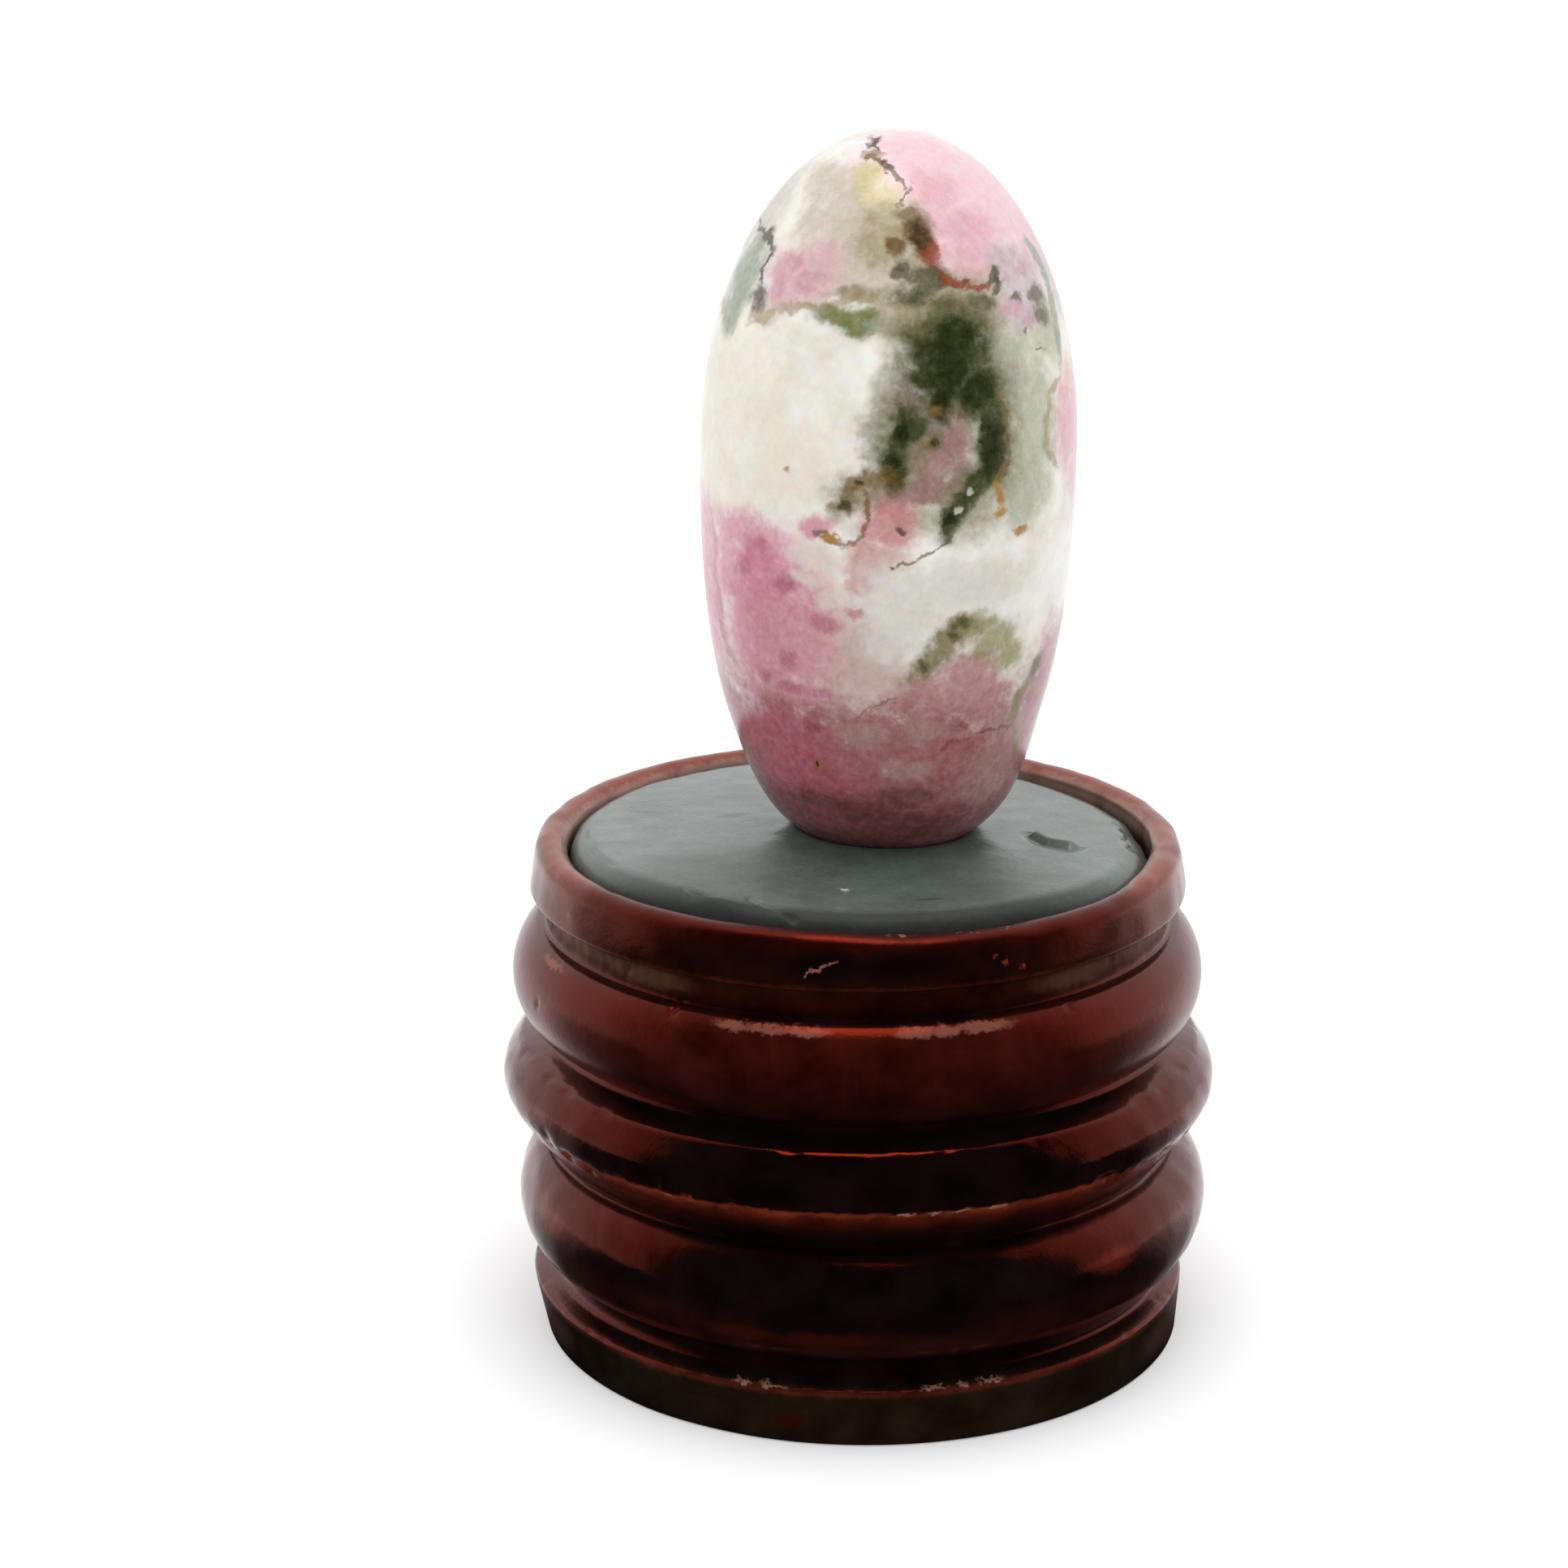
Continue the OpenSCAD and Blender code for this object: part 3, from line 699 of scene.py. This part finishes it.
        *vein(0.72, (27, 0.3), (22, -1.1), (19, -2.2), (16, -3.0)), (176, 4.6, 1.4, 2.4, 10),
        *vein(0.7, (176, 4), (170, 1), (173, -1.5), (182, -3)),
        *vein(0.5, (-178, -3), (-170, -4.5), (-166, -6))]),
    ("#242d0f", 0.8, 0.5, [
        (16, 6.9, 1.5, 1.9, 0), (14, 5.0, 0.6, 1.5, 0), (20, 8.1, 1.3, 1.3, 0), (26, 5.3, 1.3, 1.0, 0),
        (3, 3.2, 0.6, 0.7, 0), (0, 1.0, 0.6, 0.9, 0), (30, 2.1, 0.7, 1.8, 0), (17, -2.1, 0.6, 0.6, 0),
        (176, 4.8, 0.7, 1.4, 0)]),
    ("#7b6230", 0.75, 0.5, [
        (11, 2.4, 0.6, 0.5, 0), (12, 4.3, 0.5, 0.4, 0), (-10, -0.2, 0.7, 0.4, 0),
        *vein(0.23, (34, 4.8), (36, 2.7), (36, 0.8), (34, -0.2)),
        *vein(0.62, (-1, 0.4), (-9, 0.1), (-13, -0.6), (-16, -2.0)),
        *vein(0.18, (-22, -3.2), (-18, -3.8), (-14, -4.1), (-10, -3.7), (-8, -2.3), (-8, -0.9)),
        *vein(0.13, (18, -3.2), (12, -4.0), (7, -4.8), (2, -5.4))]),
    ("#3c361f", 0.8, 0.5, [
        (-15, -1.7, 0.3, 0.6, -20), (-10, -0.3, 0.4, 0.2, 0), (11, 2.4, 0.3, 0.2, 0), (2, -2.9, 0.2, 0.2, 0),
        (0, -5.5, 0.2, 0.1, 0)]),
    ("#ddd8ce", 0.7, 0.5, [
        (-13, -2.8, 0.7, 0.8, 0), (20, -1.7, 0.2, 0.3, 0), (23, -0.6, 0.3, 0.2, 0)]),
    ("#b5863a", 0.85, 0.45, [
        (33, -1.3, 0.4, 0.9, -10), (34, -2.6, 0.3, 0.4, 0), (42, -3.8, 0.6, 0.3, 0), (-33, 0.6, 0.2, 0.3, 0),
        (-18, -3.8, 0.3, 0.2, 0)]),
    ("#b3657a", 0.6, 0.5, [
        (-34, -7.0, 0.6, 0.7, 0), (-34, -11.6, 0.8, 0.5, 0), (-33, -13.5, 0.8, 0.4, 0),
        (-21, -13.8, 0.7, 0.5, 0), (-19, -9.1, 0.8, 0.5, 0), (-43, -13.1, 0.6, 0.5, 0),
        (-11, -8.3, 0.6, 0.4, 0), (-51, -6.4, 0.8, 0.6, 0), (-45, -4.5, 0.9, 0.4, 0),
        *vein(0.13, (-68, -16.9), (-40, -16.1), (-22, -15.9)), (-100, -9, 0.7, 0.6, 0),
        (-90, -13, 0.8, 0.6, 0)]),
    ("#8f5054", 0.65, 0.5, [
        (27, -16.0, 0.4, 0.2, 0), (23, -17.0, 0.3, 0.2, 0), (-26, -16.1, 0.6, 0.3, 0),
        *vein(0.13, (20, -17.5), (26, -17.0), (31, -16.8), (42, -16.9), (52, -16.9)),
        *vein(0.10, (-12, -15.1), (-5, -14.3), (2, -13.9))]),
    ("#9a5f3a", 0.7, 0.5, [
        (-26, -18.9, 0.5, 0.5, 0)]),
    ("#33190f", 0.95, 0.4, [
        (-26, -18.9, 0.2, 0.2, 0)]),
]
# Milky ground, then one cloud of mineral over the other, the painted shade at the foot among them, each frayed by
# the same fine noise
cloud = lumps(tree, centred, 1.3, 7.0, 0.68)
ragged = ranged(tree, cloud["Fac"], 0.58, 1.42, 0.28, 0.72)
surface = ramped(tree, wide["Fac"], [
    (0.3, linear("#f8f6f1")), (0.5, linear("#f1ede4")), (0.7, linear("#e6dfd1"))])
for hex_colour, strength, softness, patches in minerals_and_shade:
    placed = [(on_stone(turn, z), (across, 0.8 * max(across, tall) + 1, tall), tilt, turn)
              for turn, z, across, tall, tilt in patches]
    share = maths(tree, "MULTIPLY", patch_mask(tree, spot, placed, softness, ragged), strength)
    surface = laid(tree, share, surface, hex_colour)
# Grains: they show in the coloured minerals and hardly in the white
grains = lumps(tree, centred, 0.6, 6.0, 0.7)
depth = ranged(tree, grains["Fac"], 0.8, 1.24, 0.28, 0.72)
surface = add(tree, "ShaderNodeGamma", {"Color": surface, "Gamma": depth}).outputs[0]
tint = vectors(tree, "MULTIPLY_ADD", close["Color"], (0.24, 0.24, 0.24), (0.88, 0.88, 0.88))
surface = vectors(tree, "MULTIPLY", surface, tint)
shell = add(tree, "ShaderNodeBsdfPrincipled", {"Base Color": surface, "Roughness": 0.22, "IOR": 1.54})
add(tree, "ShaderNodeOutputMaterial", {"Surface": shell.outputs[0]})


# ---------------------------------------------------------------- turned stand

def bead(bm, point, bottom, top, r):
    """Draws a bead's arc up from the groove."""
    half, rise = (top - bottom) / 2, r - GROOVE_R
    arc_r = (half * half + rise * rise) / (2 * rise)
    return arc_to(bm, point, r - arc_r, bottom + half, -2 * math.degrees(math.asin(half / arc_r)), 26)


def tangent(r, z, centre_r, centre_z, radius):
    """Angle in degrees at which a line from a point below touches the outside of a circle."""
    away = math.hypot(r - centre_r, z - centre_z)
    return math.degrees(math.atan2(z - centre_z, r - centre_r)) + math.degrees(math.acos(radius / away))


quirk_r = GROOVE_R - QUIRK
nose_r = RIDGE_R - NOSE_ROUND
nose_start = -math.degrees(math.asin((CREST_Z - ARRIS_Z) / NOSE_ROUND))
arris_r = nose_r + NOSE_ROUND * math.cos(math.radians(nose_start))
nose_top_r = nose_r + NOSE_ROUND * math.cos(math.radians(NOSE_END))
nose_top_z = CREST_Z + NOSE_ROUND * math.sin(math.radians(NOSE_END))
ridge_edge_z = nose_top_z + (nose_top_r - RIDGE_EDGE_R) / math.tan(math.radians(NOSE_END))
rim_touch = tangent(RIM_R, RIM_Z, LIP_R, LIP_Z, LIP_ROUND)
wall_top_r = LIP_R + LIP_ROUND * math.cos(math.radians(rim_touch))
wall_top_z = LIP_Z + LIP_ROUND * math.sin(math.radians(rim_touch))

# Profile from the middle of the foot, up the outside, to the middle of the recess
bm = bmesh.new()
arrises, hollows = [], []
point = lines_to(
    bm, bm.verts.new((0, 0, 0)), (FOOT_R, 0, arrises), (BASE_R, BASE_TOP, arrises),
    (NECK_R, BASE_TOP + NECK_SLOPE, hollows), (NECK_R, BEAD_LOW_Z, hollows), (GROOVE_R, BEAD_LOW_Z, None))
point = bead(bm, point, BEAD_LOW_Z, RIDGE_Z, BEAD_LOW_R)
point = lines_to(
    bm, point, (quirk_r, RIDGE_Z, hollows), (quirk_r, RIDGE_Z + QUIRK_LOW, None), (arris_r, ARRIS_Z, arrises))
point = arc_to(bm, point, nose_r, CREST_Z, nose_start - NOSE_END, 16)
point = lines_to(
    bm, point, (RIDGE_EDGE_R, ridge_edge_z, arrises), (quirk_r, BEAD_HIGH_Z - QUIRK_HIGH, hollows),
    (quirk_r, BEAD_HIGH_Z, None), (GROOVE_R, BEAD_HIGH_Z, None))
point = bead(bm, point, BEAD_HIGH_Z, RIM_NECK_Z, BEAD_HIGH_R)
point = lines_to(
    bm, point, (NECK_R, RIM_NECK_Z, hollows), (NECK_R, RIM_Z - NECK_SLOPE, hollows), (RIM_R, RIM_Z, arrises),
    (wall_top_r, wall_top_z, None))
point = arc_to(bm, point, LIP_R, LIP_Z, rim_touch - 180, 14)
lines_to(bm, point, (RECESS_R, RECESS_FLOOR, None), (0, RECESS_FLOOR, None))
for corners, size, segments in ((arrises, ARRIS_BEVEL, 4), (hollows, HOLLOW_BEVEL, 3)):
    bmesh.ops.bevel(
        bm, geom=corners, offset=size * MM, segments=segments, profile=0.5, affect="VERTICES", material=-1)
part_edges(bm, STAND_MESH)
# The flat faces keep every eighth ring
bmesh.ops.dissolve_verts(bm, verts=[
    v for v in bm.verts if 0.01 * MM < v.co.x < FLAT_R * MM and round(v.co.x / MM / STAND_MESH) % 8])
turn_on_lathe(bm, STAND_STEPS)

# Chips and pits: bearing, height, half-width in degrees, half-height and depth
chips = [
    # on the ridge's arris
    (-59, 17.0, 2.5, 0.9, 0.12), (-34.5, 16.8, 2.4, 0.7, 0.45), (-28.5, 16.7, 1.7, 0.5, 0.5),
    (-21, 16.6, 1.8, 0.5, 0.4), (2, 15.5, 0.9, 0.9, 0.6), (41, 16.5, 3, 0.7, 0.35), (36, 16.3, 1.5, 0.4, 0.3),
    (83, 17.2, 2.5, 0.7, 0.25), (121, 16.3, 3, 0.7, 0.45), (168, 16.4, 5, 0.6, 0.35),
    (-146, 16.3, 3.5, 0.7, 0.45), (-117, 16.3, 5, 0.6, 0.3),
    # on the beads and the upper neck
    (-33, 27.7, 0.9, 0.45, 0.35), (37, 27.6, 0.8, 0.3, 0.25), (-30, 8.3, 0.8, 0.35, 0.3),
    (-65.5, 25, 0.8, 0.4, 0.25), (100, 10.2, 0.9, 0.4, 0.25), (-104, 24.2, 1, 0.4, 0.25),
    (152, 7.4, 0.9, 0.4, 0.3), (-172, 25.6, 0.8, 0.3, 0.25), (-45.6, 29.1, 0.8, 0.35, 0.3),
    (24.5, 29.2, 0.9, 0.35, 0.3)]
for v in bm.verts:
    x, y, z = v.co / MM
    r, turn = math.hypot(x, y), bearing(x, y)
    # the recess with its wall and the resting face stay true
    if r < RECESS_R + 0.05 or z < 0.01 and r < 19:
        continue
    out = Vector((math.sin(math.radians(turn)), -math.cos(math.radians(turn)), 0))
    grow = -0.05 + 0.05 * rough(x, y, z, 7)
    grow += 0.05 * rough(x, y, z, 1.9) * within(z, 6.5, 19.5, 0.6)
    # the rim's lacquer is thick and lumpy, and the neck under it rough with dust
    grow += 0.09 * rough(x, y, z, 2.6) * ease(z, 30, 31)
    grow += 0.1 * rough(x, y, z, 0.7) * within(z, 28.3, 29.7, 0.2)
    # the lip is wrinkled at the sides and worn down at the right front
    wrinkle = ease(z, 32.7, 33.3) * ease(abs(turn), 35, 60) * (0.05 + 0.07 * rough(x, y, 0, 1.6))
    worn = 0.3 * within(turn, 2, 62, 12) * ease(z, 32, 33.3)
    v.co.z -= (wrinkle + worn) * MM
    # the foot was trimmed out of round, fuller on the right
    grow += max(1 - z / BASE_TOP, 0) * (0.4 + 0.3 * math.sin(math.radians(turn)))
    # the ridge's arris is knocked about all the way round, the other arrises less so
    knocks = 0.06 + 0.65 * max(rough(x, y, z, 1.5) - 0.12, 0) + 0.25 * max(rough(x, y, z, 0.6), 0)
    grow -= hump(z, ARRIS_Z, 0.8) * knocks
    grow -= hump(z, BASE_TOP, 0.4) * (0.03 + 0.4 * max(rough(x, y, z, 1.2) - 0.15, 0))
    grow -= hump(z, ridge_edge_z, 0.4) * 0.25 * max(rough(x, y, z, 1.4) - 0.1, 0)
    for chip_turn, chip_z, half_turn, half_z, chip_depth in chips:
        if abs(z - chip_z) < half_z:
            inside = hump(turned_by(turn, chip_turn), 0, half_turn) * hump(z, chip_z, half_z)
            grow -= chip_depth * inside * (1 + 0.5 * rough(x, y, z, 0.5))
    v.co += out * grow * MM
    # the mouldings aren't quite concentric
    v.co.x += (0.3 * ease(z, 14, 11) * ease(z, 4, 5.5) - 0.1 * ease(z, 20, 23)) * MM
make_piece(bm, "turned_stand_lacquered", "stand", "turned_stand", lacquer)


# ---------------------------------------------------------------- putty pad

dome_r = (PAD_R ** 2 + PAD_DOME ** 2) / (2 * PAD_DOME)
dome_z = PAD_CROWN - dome_r
edge_r = PAD_R - PAD_EDGE
edge_z = dome_z + math.sqrt((dome_r - PAD_EDGE) ** 2 - edge_r ** 2)
dome_turn = math.degrees(math.asin(edge_r / (dome_r - PAD_EDGE)))

bm = bmesh.new()
point = bm.verts.new((0, 0, PAD_CROWN * MM))
point = arc_to(bm, point, 0, dome_z, dome_turn, 100)
point = arc_to(bm, point, edge_r, edge_z, 90 - dome_turn, 24)
lines_to(bm, point, (PAD_R, PAD_FOOT, None), (0, PAD_FOOT, None))
part_edges(bm, PAD_MESH)
turn_on_lathe(bm, PAD_STEPS)

# Underside of the stone, for the dent: radius from its middle and height
stone_foot = [
    (stone_radius(-SEAT_LENGTH + step * DENT_STEP), GIRTH_Z - SEAT_LENGTH + step * DENT_STEP)
    for step in range(140)]
foot_x = STONE_X + stone_shift(-SEAT_LENGTH)
# Curl of putty scraped up at the right of the pad, with a groove on one side
curl = [(11.5, -0.7), (12.2, -2.0), (13.5, -2.5)]
for v in bm.verts:
    x, y, z = v.co / MM
    if z < RECESS_FLOOR + 0.1:
        continue
    r, turn = math.hypot(x, y), bearing(x, y)
    top = ease(z, RECESS_FLOOR + 0.3, 33)
    # the edge rolls over tightly at the front, where the putty is full and stands up over the lip
    full = within(turn, -62, 52, 22)
    roll = 1.7 - 0.7 * full
    reach = PAD_R + 0.1 - 0.2 * ease(abs(turned_by(turn, 125)), 55, 0)
    if r < edge_r:
        moved = r * (1 + ((reach - roll) / edge_r - 1) * ease(r, 6, edge_r))
    else:
        moved = reach - roll + roll * (r - edge_r) / PAD_EDGE
    moved += 0.06 * rough(x, y, z, 2.5) * ease(r, 15, 18.5)
    if r > 0.01:
        x, y = x * moved / r, y * moved / r
    r = math.hypot(x, y)
    # the putty leans: it was pushed up at the left front and drawn down at the right back
    z += top * PAD_LEAN * r / 17.5 * math.cos(math.radians(turn + 50))
    z += top * PAD_BULGE * full * ease(r, 12.5, 17)
    z += top * (0.05 * rough(x, y, 0, 5) + 0.03 * rough(x, y, 7, 1.7))
    # torn folds along the edge: three at the left front, a crease at the left, a step at the right
    z -= 0.6 * hump(turn, -36, 6) * hump(r, 17.3, 0.4)
    z += 0.2 * hump(turn, -29.5, 7) * hump(r, 18.0, 0.7)
    z -= 0.35 * within(turn, -25, -13, 1) * hump(r - 16.8 - 0.14 * (turn + 24), 0, 0.35) * top
    z -= within(turn, -89, -64, 4) * 0.22 * hump(r, 17.5, 0.3) * top
    z -= 0.3 * within(turn, 83, 102, 3) * ease(r + 0.4 * rough(x, y, 0, 0.8), 17.1, 17.4) * top
    off, side = along(x, y, curl)
    if off < 1.2:
        z += 0.36 * hump(off, 0, 0.75) - 0.1 * hump(off, 0.85, 0.3) * (side < 0)
    # a soft rise round the stone, and the dent under it
    away = math.hypot(x - foot_x, y - STONE_Y)
    z += 0.14 * math.exp(-((away - 6.0) / 1.0) ** 2)
    if away < 8:
        z = min(z, next(foot_z for foot_r, foot_z in stone_foot if foot_r >= away) - 0.04)
    v.co = Vector((x, y, z)) * MM
pad = make_piece(bm, "putty_pad_pressed", "pad", "putty_pad", putty)


# ---------------------------------------------------------------- stone

bm = bmesh.new()
bmesh.ops.create_icosphere(bm, subdivisions=7, radius=1)
for v in bm.verts:
    x, y, z = v.co
    flat, angle = math.hypot(x, y), math.atan2(y, x)
    height = z * CROWN_LENGTH
    if z < 0:
        height = z * SEAT_LENGTH * (flat ** SEAT_POWER + abs(z) ** SEAT_POWER) ** (-1 / SEAT_POWER)
    out = stone_radius(height) if flat > 1e-4 else 0
    v.co = Vector((
        STONE_X + stone_shift(height) + out * math.cos(angle), STONE_Y + out * math.sin(angle),
        GIRTH_Z + height)) * MM
make_piece(bm, "lingam_stone_polished", "stone", "lingam_stone", jasper)
